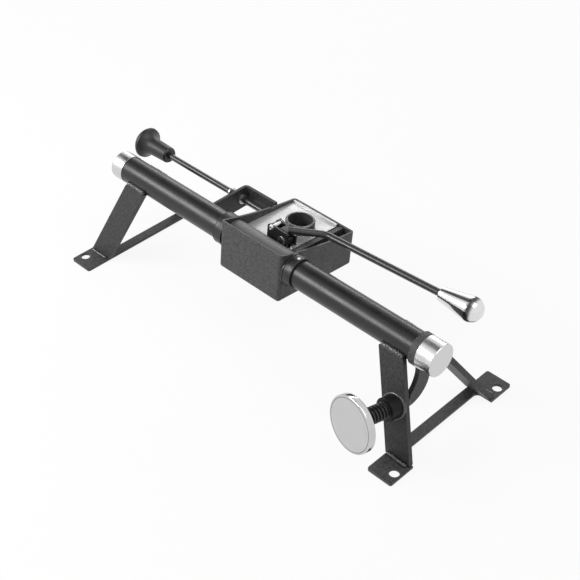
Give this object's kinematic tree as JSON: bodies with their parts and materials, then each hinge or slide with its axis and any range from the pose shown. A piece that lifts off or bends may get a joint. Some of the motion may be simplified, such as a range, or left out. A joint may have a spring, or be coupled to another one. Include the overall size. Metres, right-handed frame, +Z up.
{
  "type": "office chair tilt mechanism",
  "caption": "Torsion-bar swivel tilt mechanism for an office chair: cross tube on splayed legs, tilting steel housing with gas lift socket, lift lever, tilt lock and tension knob.",
  "frame": {"origin": "centre of the four seat bolt holes, on the plane that the tabs rest on", "axes": "+Z up as it stands on its tabs, +X along the cross tube towards the lift lever, -Y towards the tension knob"},
  "size_m": [0.5265, 0.2122, 0.1361],
  "materials": {
    "gloss_black_paint": "gloss black enamel",
    "satin_black_paint": "satin black powder coat",
    "chrome_plate": "polished chrome plating",
    "bright_zinc": "bright zinc plating",
    "black_rod": "black enamel on drawn rod",
    "black_oxide_steel": "oiled black oxide",
    "plain_steel": "plain machined steel",
    "black_knob_plastic": "matt black moulding"
  },
  "bodies": {
    "seat_frame": {"cross_tube": "gloss_black_paint", "left_side_plate": "satin_black_paint", "right_side_plate": "satin_black_paint", "left_front_leg": "satin_black_paint", "right_front_leg": "satin_black_paint", "left_rear_leg": "satin_black_paint", "right_rear_leg": "satin_black_paint", "left_end_cap": "chrome_plate", "bar_end_plug": "plain_steel", "torsion_bar": "plain_steel", "lock_bracket": "satin_black_paint", "tension_boss": "satin_black_paint"},
    "housing": {"tilt_housing": "satin_black_paint", "left_pivot_bush": "black_oxide_steel", "right_pivot_bush": "black_oxide_steel", "cone_plate": "bright_zinc", "guide_rib": "satin_black_paint", "gas_lift_sleeve": "plain_steel", "torsion_anchor": "plain_steel", "anchor_foot": "plain_steel", "anchor_screws": "black_oxide_steel", "lever_bracket": "black_oxide_steel", "lever_pivot_pin": "black_oxide_steel", "lever_stop_pin": "bright_zinc"},
    "lever": {"lever_rocker": "black_oxide_steel", "lift_lever": "black_rod", "lift_handle": "chrome_plate"},
    "lock": {"lock_rod": "black_rod", "lock_clips": "bright_zinc", "lock_knob": "black_knob_plastic"},
    "thrust": {"thrust_cap": "black_oxide_steel"},
    "adjuster": {"tension_knob": "chrome_plate", "tension_bolt": "black_oxide_steel"},
    "preload": {"preload_arm": "satin_black_paint", "bar_drive_plug": "plain_steel", "right_end_cap": "chrome_plate"}
  },
  "joints": [
    {"name": "tilt", "type": "hinge", "parent": "seat_frame", "child": "housing", "pos_m": [0, -0.0193, 0.1081], "axis": [-1, 0, 0], "range_deg": [0, 15], "stiffness_Nm_per_rad": 120, "springref_deg": -5},
    {"name": "lift", "type": "hinge", "parent": "housing", "child": "lever", "pos_m": [0.007, 0.00642, 0.11558], "axis": [0, 0.9951, -0.0993], "range_deg": [0, 6.5], "stiffness_Nm_per_rad": 2, "springref_deg": -20},
    {"name": "lock_slide", "type": "slide", "parent": "seat_frame", "child": "lock", "axis": [1, 0, 0], "range_m": [0, 0.012]},
    {"name": "thrust_slide", "type": "slide", "parent": "seat_frame", "child": "thrust", "axis": [0.1549, 0.9781, -0.1392], "range_m": [0, 0.0151]},
    {"name": "knob_spin", "type": "hinge", "parent": "thrust", "child": "adjuster", "pos_m": [0.21392, -0.05309, 0.05295], "axis": [0.1549, 0.9781, -0.1392], "range_deg": [0, 1350]},
    {"name": "preload_turn", "type": "hinge", "parent": "seat_frame", "child": "preload", "pos_m": [0, -0.0193, 0.1081], "axis": [1, 0, 0], "range_deg": [0, 14.6]}
  ],
  "couplings": [
    {"joint": "thrust_slide", "follows": "knob_spin", "m_per_rad": 0.00063662},
    {"joint": "preload_turn", "follows": "knob_spin", "ratio": 0.010741}
  ]
}
